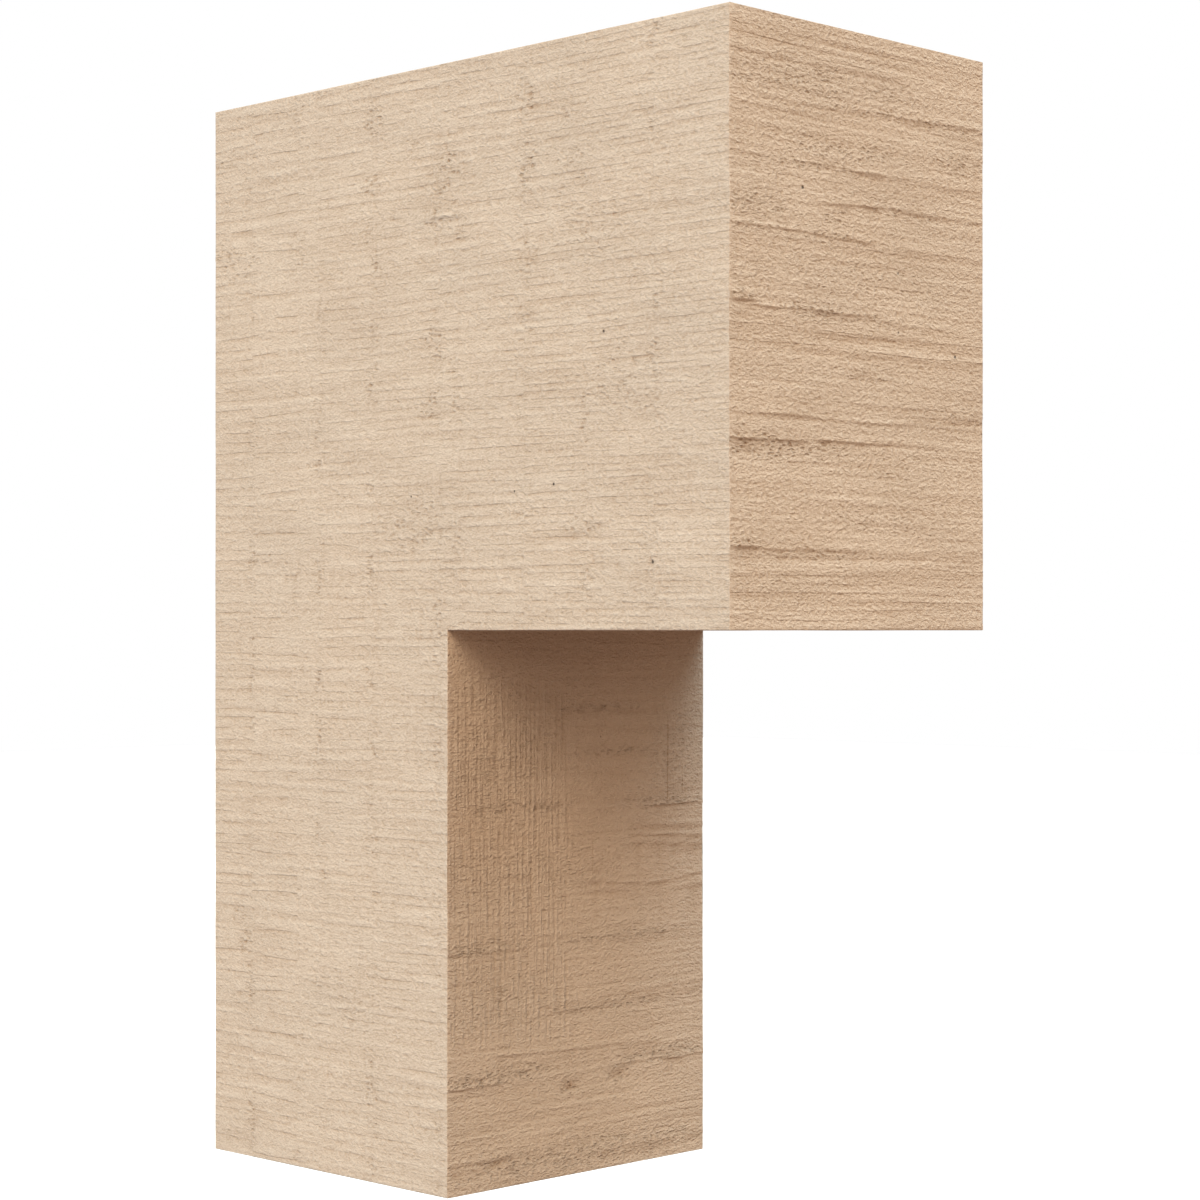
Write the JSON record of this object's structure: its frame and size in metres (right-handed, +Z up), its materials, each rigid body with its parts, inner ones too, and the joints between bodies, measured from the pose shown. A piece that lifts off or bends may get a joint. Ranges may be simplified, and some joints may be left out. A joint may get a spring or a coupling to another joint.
{
  "type": "urethane corbel",
  "caption": "Block corbel shaped like an upside-down L, cast in urethane with the surface of rough-sawn timber, fixed to a wall under a beam, shelf or eave.",
  "frame": {"origin": "middle of the flat back face, where the corbel is fixed to the wall", "axes": "+Z up, +Y out of the back face into the wall, X across the width; the arm reaches out along -Y"},
  "size_m": [0.1524, 0.3048, 0.4572],
  "materials": {
    "primed_urethane": "matt tan factory primer over cast rough-sawn relief"
  },
  "bodies": {
    "root": {"corbel_body": "primed_urethane"}
  },
  "joints": []
}
